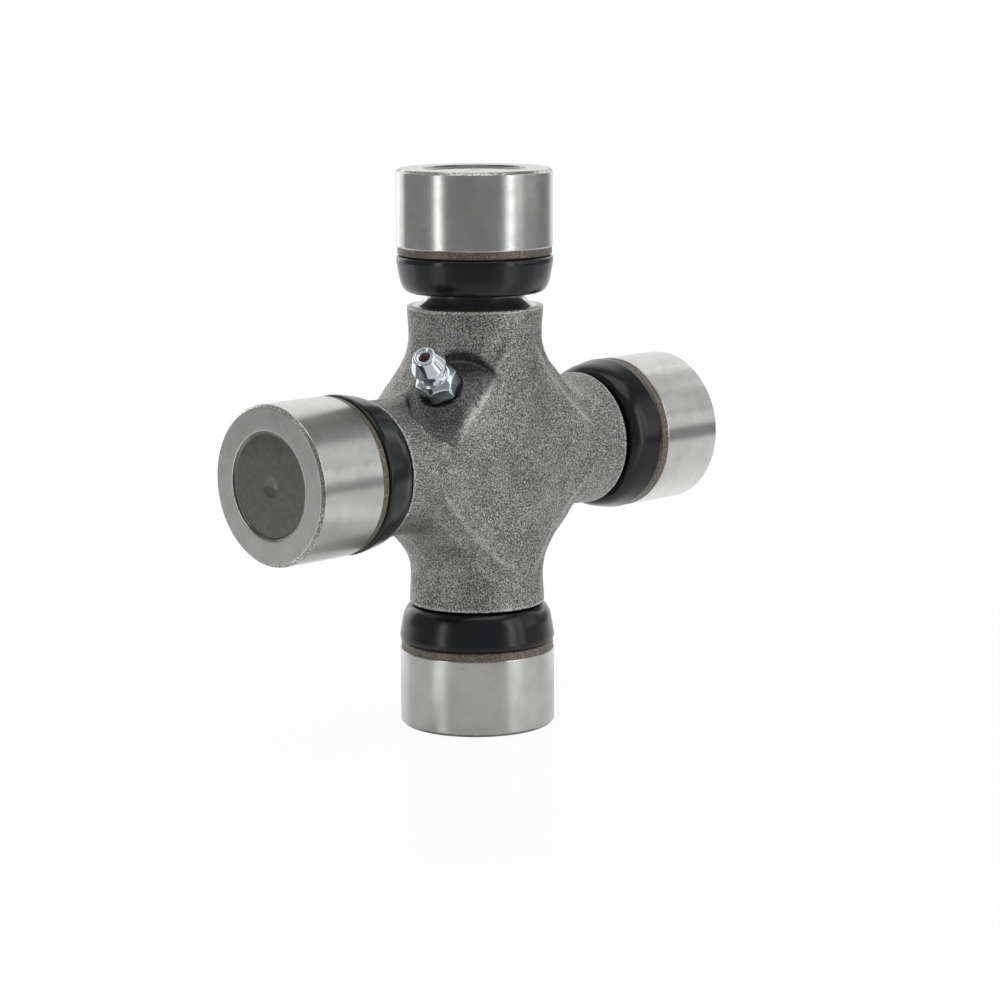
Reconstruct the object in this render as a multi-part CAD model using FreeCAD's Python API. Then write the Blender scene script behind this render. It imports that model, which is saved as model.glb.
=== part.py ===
import FreeCAD, Part
import math
import os

# Universal joint cross with four roller bearing cups, in millimetres.
# The origin is where the two arm axes meet, +Z is up the top arm and +X is along the right arm.
# Every arm piece is made once on the +Z arm and is then turned onto its own arm.

VX = FreeCAD.Vector(1, 0, 0)
VY = FreeCAD.Vector(0, 1, 0)
VZ = FreeCAD.Vector(0, 0, 1)
ORIGIN = FreeCAD.Vector(0, 0, 0)

# Driving sizes: the cup diameter and the span over the cup ends when seated.
# Two cups stand a little off their seats, as on a joint that isn't fitted yet.
cup_radius = 30.18 / 2
half_span = 106.35 / 2
top_cup_raise = 2.25
right_cup_raise = 1.05

# Bearing cup
cup_length = 16.55
cup_wall = 3.07
cup_floor = 3.0
end_ring_width = 4.94
recess_depth = 0.9
recess_wall_slope = 0.55
punch_radius = 1.7
punch_depth = 0.45
end_chamfer = 0.6
relief_length = 1.4
relief_drop = 0.38
rim_chamfer = 0.3
seal_seat_depth = 3.0
seal_seat_wall = 2.2

# Needle rollers between the journal and the cup
needle_radius = 1.19
needle_clearance = 0.02
needle_side_gap = 0.02
needle_end_gap = 0.17
needle_seal_gap = 0.08
needle_end_round = 0.25

# Journal of the cross
journal_chamfer = 0.8
channel_radius = 2.5
channel_countersink = 1.0

# Thrust washer between the journal's end and the cup's floor
washer_thickness = 1.3
washer_gap = 0.35
washer_hole_radius = 3.6
washer_groove_width = 2.0
washer_groove_depth = 0.45

# Seals
lip_clearance = 0.05
lip_depth = 0.7
lip_hook_gap = 0.1
guard_length = 6.925
guard_gap = 0.33
guard_rim_gap = 0.3
guard_bulge = 0.06
guard_journal_gap = 0.6
guard_lip_inset = 0.3
guard_lip_width = 0.8
guard_heel_height = 3.6
guard_waist_inset = 0.45
guard_roll_share = 0.62
guard_roll_rise = 0.30

# Forged cross
shoulder_step = 1.91
shoulder_round = 0.35
land_fillet = 2.6
waist_drop = 0.23
waist_rise = 4.07
stub_length = 7.35
web_seam_fillet = 5.5
dome_radius = 72.0
dome_rise = 0.15

# Grease nipple in the upper left crotch, leaning to the front
nipple_lean_deg = 15.3
nipple_sink = 1.3
pocket_lean_deg = 27.0
pocket_depth = 1.14
pocket_shift = 3.5
pocket_radius = 9.3
pocket_wall_slope = 0.2
boss_edge = 0.15
boss_slope = 1.5
thread_radius = 3.0
thread_length = 5.5
thread_chamfer = 0.6
hex_flats = 7.0
hex_height = 3.4
hex_turn_deg = 14.0
hex_top_inset = 0.4
hex_top_bevel = 0.8
hex_foot_inset = 0.1
hex_foot_bevel = 0.4
neck_flare = 0.2
neck_radius = 2.35
neck_start = 4.5
neck_end = 6.4
head_radius = 3.3
head_start = 7.4
head_end = 8.0
tip_height = 10.35
tip_radius = 2.0
mouth_radius = 0.95
mouth_land = 0.5
chamber_radius = 1.5
chamber_start = 4.4
ball_radius = 1.2
ball_gap = 0.02
spring_wire_radius = 0.2
spring_gap = 0.15
spring_end_gap = 0.03
spring_turns = 3

# Round the arm, from the cup's outside in
cup_bore_radius = cup_radius - cup_wall
needle_pitch_radius = cup_bore_radius - needle_clearance - needle_radius
journal_radius = needle_pitch_radius - needle_radius - needle_clearance
needle_count = int(math.pi / math.asin((needle_radius + needle_side_gap / 2) / needle_pitch_radius))
seal_seat_radius = cup_radius - seal_seat_wall
recess_radius = cup_radius - end_ring_width
shoulder_flat_radius = journal_radius + land_fillet
arm_radius = cup_radius - shoulder_step
arm_waist_radius = arm_radius - waist_drop
hub_half_depth = arm_waist_radius + dome_rise

# Along the arm, from the cup's end in
rim_height = half_span - cup_length
floor_height = half_span - recess_depth - cup_floor
journal_height = floor_height - washer_thickness
seal_top = rim_height + seal_seat_depth
needle_top = journal_height - needle_end_gap
needle_bottom = seal_top + needle_seal_gap
guard_top = rim_height - guard_rim_gap
guard_base = guard_top - guard_length
hook_top = rim_height + lip_hook_gap
shoulder_height = guard_base - guard_gap
waist_height = shoulder_height - waist_rise
flare_top = shoulder_height - stub_length
web_corner_height = flare_top - web_seam_fillet * math.tan(math.radians(22.5))
web_reach = (web_corner_height + arm_waist_radius) / math.sqrt(2)
nipple_seat = web_reach - nipple_sink



def crotch_axis(lean_deg):
    """Direction halfway between the left and top arms, tilted to the front."""
    lean = math.radians(lean_deg)
    return FreeCAD.Vector(
        -math.cos(lean) / math.sqrt(2), -math.sin(lean), math.cos(lean) / math.sqrt(2)
    )


NIPPLE_AXIS = crotch_axis(nipple_lean_deg)
POCKET_AXIS = crotch_axis(pocket_lean_deg)

# Each arm: its name, the turn about +Y that takes +Z onto it, and how far its cup stands off
ARMS = (
    ("top", 0.0, top_cup_raise),
    ("right", 90.0, right_cup_raise),
    ("bottom", 180.0, 0.0),
    ("left", 270.0, 0.0),
)


def point(radius, height):
    """Point of a profile in the XZ plane."""
    return FreeCAD.Vector(radius, 0, height)


def turned(points):
    """Solid turned about Z from a closed outline of (radius, height) pairs."""
    outline = Part.makePolygon([point(r, h) for r, h in points + points[:1]])
    return Part.Face(outline).revolve(ORIGIN, VZ, 360)


def turned_edges(edges):
    """Solid turned about Z from the edges of a closed outline."""
    return Part.Face(Part.Wire(edges)).revolve(ORIGIN, VZ, 360)


def line(start, end):
    """Straight edge of a profile between two (radius, height) pairs."""
    return Part.makeLine(point(*start), point(*end))


def arc(start, middle, end):
    """Arc edge of a profile through three (radius, height) pairs."""
    return Part.Arc(point(*start), point(*middle), point(*end)).toShape()


def on_arm(shape, turn_deg, lift):
    """Copy of a piece made on the +Z arm, lifted outwards and turned onto its arm."""
    placed = shape.copy()
    placed.translate(VZ * lift)
    placed.rotate(ORIGIN, VY, turn_deg)
    return placed


def trunnion():
    """One arm from the centre out: forged stub, shoulder, fillet and ground journal."""
    middle = math.sqrt(0.5) * land_fillet
    corner_radius = shoulder_flat_radius
    corner_height = shoulder_height + land_fillet
    round_start = arm_radius - shoulder_round
    round_middle = (
        arm_radius - shoulder_round * (1 - math.sqrt(0.5)),
        shoulder_height - shoulder_round * (1 - math.sqrt(0.5)),
    )
    edges = [
        line((0, 0), (arm_waist_radius, 0)),
        line((arm_waist_radius, 0), (arm_waist_radius, waist_height)),
        line((arm_waist_radius, waist_height), (arm_radius, shoulder_height - shoulder_round)),
        arc((arm_radius, shoulder_height - shoulder_round), round_middle, (round_start, shoulder_height)),
        line((round_start, shoulder_height), (shoulder_flat_radius, shoulder_height)),
        arc(
            (shoulder_flat_radius, shoulder_height),
            (corner_radius - middle, corner_height - middle),
            (journal_radius, corner_height),
        ),
        line((journal_radius, corner_height), (journal_radius, journal_height - journal_chamfer)),
        line(
            (journal_radius, journal_height - journal_chamfer),
            (journal_radius - journal_chamfer, journal_height),
        ),
        line((journal_radius - journal_chamfer, journal_height), (0, journal_height)),
        line((0, journal_height), (0, 0)),
    ]
    return turned_edges(edges)


def crotch_flare():
    """Root of one arm: its waist opens out in an arc to the sloped side of the web.

    Only the wedge above the two diagonals is kept, so the four roots meet on the diagonals.
    """
    turn = math.radians(45)
    centre_radius = arm_waist_radius + web_seam_fillet
    arc_end = (
        centre_radius - web_seam_fillet * math.cos(turn),
        flare_top - web_seam_fillet * math.sin(turn),
    )
    arc_middle = (
        centre_radius - web_seam_fillet * math.cos(turn / 2),
        flare_top - web_seam_fillet * math.sin(turn / 2),
    )
    slope_end = (web_reach * math.sqrt(2), 0)
    flare = turned_edges([
        line((0, 0), slope_end),
        line(slope_end, arc_end),
        arc(arc_end, arc_middle, (arm_waist_radius, flare_top)),
        line((arm_waist_radius, flare_top), (0, flare_top)),
        line((0, flare_top), (0, 0)),
    ])
    wedge_corners = [point(0, 0), point(flare_top, flare_top), point(-flare_top, flare_top)]
    wedge = Part.Face(Part.makePolygon(wedge_corners + wedge_corners[:1])).extrude(VY * 2 * arm_radius)
    wedge.translate(VY * -arm_radius)
    return flare.common(wedge)


def hub_lens():
    """Space between the front and back domes of the hub."""
    domes = []
    for side in (-1, 1):
        dome = Part.makeSphere(dome_radius)
        dome.translate(VY * side * (hub_half_depth - dome_radius))
        domes.append(dome)
    return domes[0].common(domes[1])


def forged_blank():
    """The four arms and the domed web in one piece."""
    arm = trunnion()
    root = crotch_flare().common(hub_lens())
    arms = [on_arm(arm, turn_deg, 0) for _, turn_deg, _ in ARMS]
    roots = [on_arm(root, turn_deg, 0) for _, turn_deg, _ in ARMS]
    return arms[0].multiFuse(arms[1:] + roots).removeSplitter()


def nipple_pocket():
    """Shallow forged pocket round the nipple, set towards the front, with sloped walls."""
    reach = web_reach
    front_way = FreeCAD.Vector(1, 0, 1).cross(POCKET_AXIS).normalize()
    centre = NIPPLE_AXIS * (nipple_seat - pocket_depth) + front_way * pocket_shift
    return Part.makeCone(
        pocket_radius, pocket_radius + pocket_wall_slope * reach, reach, centre, POCKET_AXIS,
    )


def nipple_boss():
    """Low sloped boss in the pocket that the nipple sits on."""
    top = hex_flats / math.sqrt(3) + boss_edge
    foot = 2 * pocket_depth
    return Part.makeCone(
        top + boss_slope * foot, top, foot, NIPPLE_AXIS * (nipple_seat - foot), NIPPLE_AXIS,
    )


def cross_body():
    """Forged cross with its grease channels, nipple pocket, boss and tapped hole."""
    body = forged_blank()
    bevel = channel_radius + channel_countersink
    for _, turn_deg, _ in ARMS:
        drill = Part.makeCylinder(channel_radius, journal_height + 1)
        cone = Part.makeCone(
            channel_radius, bevel, channel_countersink,
            VZ * (journal_height - channel_countersink),
        )
        body = body.cut(on_arm(drill.fuse(cone), turn_deg, 0))
    hole = Part.makeCylinder(thread_radius, nipple_seat + 1, ORIGIN, NIPPLE_AXIS)
    return body.cut(nipple_pocket()).fuse(nipple_boss()).cut(hole)


def bearing_cup():
    """Hardened cup: ground outside, recessed end, needle bore and seal seat."""
    end_in = cup_radius - end_chamfer
    relief_radius = cup_radius - relief_drop
    relief_height = rim_height + relief_length
    recess_floor = half_span - recess_depth
    return turned([
        (0, floor_height),
        (cup_bore_radius, floor_height),
        (cup_bore_radius, seal_top),
        (seal_seat_radius, seal_top),
        (seal_seat_radius, rim_height),
        (relief_radius - rim_chamfer, rim_height),
        (relief_radius, rim_height + rim_chamfer),
        (relief_radius, relief_height),
        (cup_radius, relief_height + relief_drop),
        (cup_radius, half_span - end_chamfer),
        (end_in, half_span),
        (recess_radius, half_span),
        (recess_radius - recess_wall_slope, recess_floor),
        (punch_radius, recess_floor),
        (0, recess_floor - punch_depth),
    ])


def needle_rollers():
    """Full complement of loose needles round the journal."""
    needle = turned([
        (0, needle_bottom),
        (needle_radius - needle_end_round, needle_bottom),
        (needle_radius, needle_bottom + needle_end_round),
        (needle_radius, needle_top - needle_end_round),
        (needle_radius - needle_end_round, needle_top),
        (0, needle_top),
    ])
    needle.translate(VX * needle_pitch_radius)
    ring = []
    for index in range(needle_count):
        placed = needle.copy()
        placed.rotate(ORIGIN, VZ, 360 * index / needle_count)
        ring.append(placed)
    return Part.makeCompound(ring)


def thrust_washer():
    """Plastic washer with a centre hole and crossed grease grooves towards the journal."""
    radius = cup_bore_radius - washer_gap
    washer = turned([
        (washer_hole_radius, journal_height),
        (radius, journal_height),
        (radius, floor_height),
        (washer_hole_radius, floor_height),
    ])
    for turn_deg in (45, 135):
        groove = Part.makeBox(
            2 * radius + 2, washer_groove_width, 2 * washer_groove_depth,
            FreeCAD.Vector(-radius - 1, -washer_groove_width / 2, journal_height - washer_groove_depth),
        )
        groove.rotate(ORIGIN, VZ, turn_deg)
        washer = washer.cut(groove)
    return washer


def lip_seal():
    """Rubber ring in the cup's mouth with two lips round the journal."""
    lip_radius = journal_radius + lip_clearance
    root_radius = lip_radius + lip_depth
    pitch = (seal_top - hook_top) / 5
    return turned([
        (seal_seat_radius, hook_top),
        (seal_seat_radius, seal_top),
        (root_radius, seal_top),
        (lip_radius, seal_top - pitch),
        (root_radius, seal_top - 2 * pitch),
        (lip_radius, seal_top - 3 * pitch),
        (root_radius, hook_top),
    ])


def dust_guard():
    """Black outer guard: rolled over towards the shoulder and hooked into the cup's mouth."""
    bulge_radius = cup_radius + guard_bulge
    inner_radius = journal_radius + guard_journal_gap
    heel = guard_base + guard_heel_height
    waist_radius = bulge_radius - guard_waist_inset
    lip_radius = shoulder_flat_radius - guard_lip_inset
    toe_radius = lip_radius + guard_lip_width
    roll = (
        toe_radius + guard_roll_share * (waist_radius - toe_radius),
        guard_base + guard_roll_rise * guard_heel_height,
    )
    edges = [
        line((lip_radius, guard_base), (toe_radius, guard_base)),
        arc((toe_radius, guard_base), roll, (waist_radius, heel)),
        line((waist_radius, heel), (bulge_radius, guard_top)),
        line((bulge_radius, guard_top), (seal_seat_radius, guard_top)),
        line((seal_seat_radius, guard_top), (seal_seat_radius, hook_top)),
        line((seal_seat_radius, hook_top), (inner_radius, hook_top)),
        line((inner_radius, hook_top), (inner_radius, shoulder_height + land_fillet)),
        line((inner_radius, shoulder_height + land_fillet), (lip_radius, guard_base)),
    ]
    return turned_edges(edges)


def along_nipple(shape):
    """Piece made up +Z from the nipple's seat, set onto the nipple's axis."""
    placed = shape.copy()
    spin = FreeCAD.Rotation(VY.cross(NIPPLE_AXIS), VY, NIPPLE_AXIS, "ZXY")
    placed.Placement = FreeCAD.Placement(NIPPLE_AXIS * nipple_seat, spin).multiply(placed.Placement)
    return placed


def ball_height():
    """Height of the ball's centre when it rests under the mouth's edge."""
    edge_height = tip_height - mouth_land
    return edge_height - math.sqrt((ball_radius + ball_gap) ** 2 - mouth_radius ** 2)


def grease_nipple():
    """Nipple body: thread, hexagon, neck and coupler head, bored for the ball and spring."""
    corner = hex_flats / math.sqrt(3)
    bore_top = tip_height - mouth_land
    bore_cone = bore_top - (chamber_radius - mouth_radius)
    corners = [
        FreeCAD.Vector(corner * math.cos(math.radians(a)), corner * math.sin(math.radians(a)), 0)
        for a in [hex_turn_deg + 60 * index for index in range(6)]
    ]
    prism = Part.Face(Part.makePolygon(corners + corners[:1])).extrude(VZ * hex_height)
    bevel = turned([
        (0, 0),
        (hex_flats / 2 - hex_foot_inset, 0),
        (corner, hex_foot_bevel),
        (corner, hex_height - hex_top_bevel),
        (hex_flats / 2 - hex_top_inset, hex_height),
        (0, hex_height),
    ])
    barrel = turned([
        (0, -thread_length),
        (thread_radius - thread_chamfer, -thread_length),
        (thread_radius, thread_chamfer - thread_length),
        (thread_radius, hex_height - neck_flare),
        (neck_radius + neck_flare, hex_height),
        (neck_radius, neck_start),
        (neck_radius, neck_end),
        (head_radius, head_start),
        (head_radius, head_end),
        (tip_radius, tip_height),
        (0, tip_height),
    ])
    bore = turned([
        (0, -thread_length - 1),
        (mouth_radius, -thread_length - 1),
        (mouth_radius, chamber_start),
        (chamber_radius, chamber_start),
        (chamber_radius, bore_cone),
        (mouth_radius, bore_top),
        (mouth_radius, tip_height + 1),
        (0, tip_height + 1),
    ])
    return along_nipple(prism.common(bevel).fuse(barrel).cut(bore))


def nipple_ball():
    """Check ball under the nipple's mouth."""
    ball = Part.makeSphere(ball_radius)
    ball.translate(VZ * ball_height())
    return along_nipple(ball)


def nipple_spring():
    """Coil spring that holds the ball up against the mouth."""
    coil_radius = chamber_radius - spring_wire_radius - spring_gap
    base = chamber_start + spring_wire_radius + spring_end_gap
    drop = math.sqrt((ball_radius + spring_wire_radius) ** 2 - coil_radius ** 2)
    top = ball_height() - drop - spring_end_gap
    height = top - base
    helix = Part.makeHelix(height / spring_turns, height, coil_radius)
    ring = Part.Wire(Part.makeCircle(spring_wire_radius, FreeCAD.Vector(coil_radius, 0, 0), VY))
    coil = helix.makePipeShell([ring], True, True)
    coil.translate(VZ * base)
    return along_nipple(coil)


def save(name, shape):
    """Write one piece as a STEP file."""
    shape.exportStep("parts/" + name + ".step")


def main():
    os.makedirs("parts", exist_ok=True)
    save("cross_body", cross_body())
    save("grease_nipple", grease_nipple())
    save("nipple_ball", nipple_ball())
    save("nipple_spring", nipple_spring())
    pieces = {
        "bearing_cup": bearing_cup(),
        "needle_rollers": needle_rollers(),
        "thrust_washer": thrust_washer(),
        "lip_seal": lip_seal(),
        "dust_guard": dust_guard(),
    }
    for arm_name, turn_deg, lift in ARMS:
        for piece_name, shape in pieces.items():
            save(arm_name + "_" + piece_name, on_arm(shape, turn_deg, lift))


main()
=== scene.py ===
import math

import bmesh
import bpy
import numpy as np
from bpy.props import FloatProperty, FloatVectorProperty, IntProperty, PointerProperty
from mathutils import Matrix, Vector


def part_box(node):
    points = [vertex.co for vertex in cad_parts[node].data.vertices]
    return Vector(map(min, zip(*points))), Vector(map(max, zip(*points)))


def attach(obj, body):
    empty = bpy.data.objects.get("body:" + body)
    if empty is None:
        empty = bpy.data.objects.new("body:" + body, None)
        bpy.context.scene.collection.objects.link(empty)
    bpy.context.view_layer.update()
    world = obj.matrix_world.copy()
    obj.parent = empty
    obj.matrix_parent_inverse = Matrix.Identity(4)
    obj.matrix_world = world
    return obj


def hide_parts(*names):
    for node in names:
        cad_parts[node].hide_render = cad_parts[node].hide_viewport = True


bl_info = {
    "name": "Universal joint cross",
    "version": (1, 0, 0),
    "blender": (4, 5, 0),
    "location": "View3D > Sidebar > Joint cross",
    "description": "Builds a universal joint cross with bearing cups, dust guards and a grease nipple",
    "category": "Object",
}

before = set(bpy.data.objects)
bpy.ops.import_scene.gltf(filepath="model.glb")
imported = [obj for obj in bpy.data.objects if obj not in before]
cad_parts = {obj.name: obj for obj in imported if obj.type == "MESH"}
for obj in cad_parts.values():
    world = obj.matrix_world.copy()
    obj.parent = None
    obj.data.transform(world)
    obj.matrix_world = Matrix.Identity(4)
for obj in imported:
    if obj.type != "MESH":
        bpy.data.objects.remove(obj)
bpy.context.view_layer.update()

MM = 0.001

# Each arm: the turn about +Y that takes +Z onto it
ARM_TURNS = {"top": 0, "right": 90, "bottom": 180, "left": 270}


def turn_matrix(turn_deg):
    """Rotation about +Y, as rows for column vectors."""
    angle = math.radians(turn_deg)
    c = round(math.cos(angle), 12)
    s = round(math.sin(angle), 12)
    return np.array([[c, 0, s], [0, 1, 0], [-s, 0, c]])


def reach_on_arm(node, turn_deg):
    """Nearest and farthest distance of a node from the centre along an arm, in mm."""
    axis = turn_matrix(turn_deg)[:, 2]
    ends = [float(np.dot(corner, axis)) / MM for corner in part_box(node)]
    return min(ends), max(ends)


# Sizes that come from the solids, in mm
CUP_RADIUS = (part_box("top_bearing_cup")[1][1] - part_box("top_bearing_cup")[0][1]) / 2 / MM
GUARD_RADIUS = (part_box("top_dust_guard")[1][1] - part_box("top_dust_guard")[0][1]) / 2 / MM
JOURNAL_END = reach_on_arm("cross_body", 0)[1]


def crotch_axis(lean_deg):
    """Direction halfway between the left and top arms, leaning to the front."""
    lean = math.radians(lean_deg)
    return np.array([-math.cos(lean) / math.sqrt(2), -math.sin(lean), math.cos(lean) / math.sqrt(2)])


# The grease nipple's direction, and its seat's distance from the centre in mm
NIPPLE_AXIS = crotch_axis(15.3)
NIPPLE_SEAT = 21.604


class CrossSettings(bpy.types.PropertyGroup):
    """Sizes and colours of the forged cross."""

    stub_radius: FloatProperty(
        name="Stub radius", description="Radius of the forged stubs at their waist",
        default=12.95 * MM, unit="LENGTH",
    )
    shoulder_radius: FloatProperty(
        name="Shoulder radius", description="Radius of the stubs at the shoulder",
        default=13.18 * MM, unit="LENGTH",
    )
    shoulder_height: FloatProperty(
        name="Shoulder height", description="Distance of the shoulders from the centre",
        default=29.07 * MM, unit="LENGTH",
    )
    journal_radius: FloatProperty(
        name="Journal radius", description="Radius of the ground journals", default=9.6 * MM, unit="LENGTH",
    )
    web_reach: FloatProperty(
        name="Web reach", description="Distance of the web's sides from the centre",
        default=22.9 * MM, unit="LENGTH",
    )
    hub_half_depth: FloatProperty(
        name="Hub half depth", description="Half the depth of the hub over its domes",
        default=13.1 * MM, unit="LENGTH",
    )
    forged_colour: FloatVectorProperty(
        name="Forged steel", description="Colour of the blasted forging", subtype="COLOR",
        default=(0.335, 0.33, 0.32), min=0, max=1,
    )
    ground_colour: FloatVectorProperty(
        name="Ground journal", description="Colour of the ground journals", subtype="COLOR",
        default=(0.50, 0.49, 0.48), min=0, max=1,
    )
    columns: IntProperty(
        name="Columns", description="Steps round each stub", default=224, min=32,
    )


class CupSettings(bpy.types.PropertyGroup):
    """Sizes and colours of the bearing cups."""

    end_chamfer: FloatProperty(
        name="End chamfer", description="Chamfer round the cup's end", default=0.6 * MM, unit="LENGTH",
    )
    recess_radius: FloatProperty(
        name="Recess radius", description="Radius of the recess in the cup's end",
        default=10.15 * MM, unit="LENGTH",
    )
    recess_depth: FloatProperty(
        name="Recess depth", description="Depth of the recess in the cup's end",
        default=0.45 * MM, unit="LENGTH",
    )
    relief_length: FloatProperty(
        name="Relief length", description="Length of the dark band at the mouth",
        default=1.4 * MM, unit="LENGTH",
    )
    relief_drop: FloatProperty(
        name="Relief drop", description="How far the dark band lies below the ground face",
        default=0.20 * MM, unit="LENGTH",
    )
    colour: FloatVectorProperty(
        name="Ground steel", description="Colour of the ground faces", subtype="COLOR",
        default=(0.66, 0.66, 0.65), min=0, max=1,
    )
    recess_colour: FloatVectorProperty(
        name="Recess", description="Colour of the recess in the end", subtype="COLOR",
        default=(0.125, 0.123, 0.114), min=0, max=1,
    )
    oxide_colour: FloatVectorProperty(
        name="Oxide", description="Colour of the unground chamfer and relief band", subtype="COLOR",
        default=(0.15, 0.135, 0.11), min=0, max=1,
    )
    columns: IntProperty(name="Columns", description="Steps round each cup", default=192, min=32)


class GuardSettings(bpy.types.PropertyGroup):
    """Colour and gloss of the dust guards."""

    colour: FloatVectorProperty(
        name="Guard", description="Colour of the moulded guards", subtype="COLOR",
        default=(0.007, 0.008, 0.010), min=0, max=1,
    )
    roughness: FloatProperty(
        name="Roughness", description="Roughness of the guards", subtype="FACTOR",
        default=0.22, min=0, max=1,
    )


class NippleSettings(bpy.types.PropertyGroup):
    """Sizes and colours of the grease nipple."""

    hex_flats: FloatProperty(
        name="Across flats", description="Width of the hexagon across its flats",
        default=7.3 * MM, unit="LENGTH",
    )
    head_radius: FloatProperty(
        name="Head radius", description="Radius of the coupler head", default=3.4 * MM, unit="LENGTH",
    )
    colour: FloatVectorProperty(
        name="Zinc", description="Colour of the zinc plating", subtype="COLOR",
        default=(0.84, 0.93, 0.96), min=0, max=1,
    )
    # painted shade: the ball's own dark red is darkened further, as if the ball lay deep in the nipple's
    # mouth
    ball_colour: FloatVectorProperty(
        name="Check ball", description="Colour of the check ball", subtype="COLOR",
        default=(0.06, 0.003, 0.004), min=0, max=1,
    )


class StageSettings(bpy.types.PropertyGroup):
    """Floor, light and camera."""

    floor_colour: FloatVectorProperty(
        name="Floor", description="Colour of the floor", subtype="COLOR",
        default=(0.90, 0.90, 0.90), min=0, max=1,
    )
    floor_roughness: FloatProperty(
        name="Floor roughness", description="Roughness of the floor", subtype="FACTOR",
        default=0.30, min=0, max=1,
    )
    floor_glow: FloatProperty(
        name="Floor glow", description="Share of plain white in the floor beside the object",
        subtype="FACTOR", default=0.95, min=0, max=1,
    )
    floor_mirror: FloatProperty(
        name="Floor in metal", description="Share of plain white in the floor that metal shows in front",
        subtype="FACTOR", default=0.10, min=0, max=1,
    )
    room_level: FloatProperty(
        name="Room level", description="Brightness of the room round the object", default=0.25, min=0,
    )
    lamp_level: FloatProperty(
        name="Lamp level", description="Factor on the power of all lamps", default=1.0, min=0,
    )


class Wire:
    """A node's output socket that maths operators work on."""

    def __init__(self, finish, socket):
        self.finish = finish
        self.socket = socket

    def maths(self, operation, *others):
        """Math node on this value and the others."""
        values = {index + 1: other for index, other in enumerate(others)}
        return self.finish.node("ShaderNodeMath", {"operation": operation}, {0: self, **values})

    def __add__(self, other):
        return self.maths("ADD", other)

    def __mul__(self, other):
        return self.maths("MULTIPLY", other)

    def __sub__(self, other):
        return self.maths("SUBTRACT", other)

    def __truediv__(self, other):
        return self.maths("DIVIDE", other)

    def __rsub__(self, other):
        return self.finish.node("ShaderNodeMath", {"operation": "SUBTRACT"}, {0: other, 1: self})

    __radd__ = __add__
    __rmul__ = __mul__

    def step(self, low, high):
        """0 below low and 1 above high, smooth between; falls instead where low is above high."""
        return self.finish.node(
            "ShaderNodeMapRange", {"interpolation_type": "SMOOTHSTEP"},
            {"Value": self, "From Min": low, "From Max": high},
        )

    def at_least(self, other):
        """The greater of two values."""
        return self.maths("MAXIMUM", other)


class Finish:
    """A material with one Principled shader, built from node calls."""

    def __init__(self, name):
        self.material = bpy.data.materials.new(name)
        self.material.use_nodes = True
        self.tree = self.material.node_tree
        self.tree.nodes.clear()
        self.shader = self.tree.nodes.new("ShaderNodeBsdfPrincipled")
        output = self.tree.nodes.new("ShaderNodeOutputMaterial")
        self.tree.links.new(self.shader.outputs[0], output.inputs[0])

    def put(self, node, values):
        """Sets or links a node's inputs."""
        for key, value in values.items():
            if isinstance(value, Wire):
                self.tree.links.new(value.socket, node.inputs[key])
            else:
                node.inputs[key].default_value = value

    def node(self, kind, settings, values, output=0):
        """New node with its settings and inputs; gives one of its outputs."""
        made = self.tree.nodes.new(kind)
        for key, value in settings.items():
            setattr(made, key, value)
        self.put(made, values)
        return Wire(self, made.outputs[output])

    def shade(self, **values):
        """Sets the Principled shader's inputs, named with underscores for spaces."""
        names = {key.replace("_", " "): value for key, value in values.items()}
        self.put(self.shader, names)

    def place(self):
        """The piece's own coordinates, in metres."""
        return self.node("ShaderNodeTexCoord", {}, {}, "Object")

    def own(self):
        """The arm's coordinates that the piece carries, in mm."""
        return self.node("ShaderNodeAttribute", {"attribute_name": "own"}, {}, "Vector")

    def stretched(self, vector, scale):
        """Vector with each part multiplied by its own factor."""
        return self.node("ShaderNodeVectorMath", {"operation": "MULTIPLY"}, {0: vector, 1: scale})

    def turned(self, vector, angle, scale):
        """Vector turned about Z, then multiplied part by part."""
        values = {"Vector": vector, "Rotation": (0.0, 0.0, angle)}
        turned = self.node("ShaderNodeMapping", {"vector_type": "POINT"}, values)
        return self.stretched(turned, scale)

    def parts(self, vector):
        """The three numbers of a vector."""
        split = self.tree.nodes.new("ShaderNodeSeparateXYZ")
        self.put(split, {0: vector})
        return [Wire(self, socket) for socket in split.outputs]

    def noise(self, vector, scale, detail, roughness):
        """Fractal noise from 0 to 1."""
        values = {"Vector": vector, "Scale": scale, "Detail": detail, "Roughness": roughness}
        return self.node("ShaderNodeTexNoise", {}, values, "Fac")

    def cells(self, vector, scale):
        """Distance to the nearest of scattered points."""
        return self.node("ShaderNodeTexVoronoi", {}, {"Vector": vector, "Scale": scale}, "Distance")

    def mixed(self, factor, first, second):
        """Colour between two colours."""
        return self.node(
            "ShaderNodeMix", {"data_type": "RGBA"},
            {0: factor, 6: as_colour(first), 7: as_colour(second)}, 2,
        )

    def bump(self, height, distance, strength):
        """Normal that follows a height, whose full range stands for distance in metres."""
        return self.node(
            "ShaderNodeBump", {}, {"Height": height, "Distance": distance, "Strength": strength},
        )


def as_colour(value):
    """Four-part colour from a three-part one; wires pass through."""
    if isinstance(value, Wire):
        return value
    return (*tuple(value)[:3], 1.0)


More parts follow.
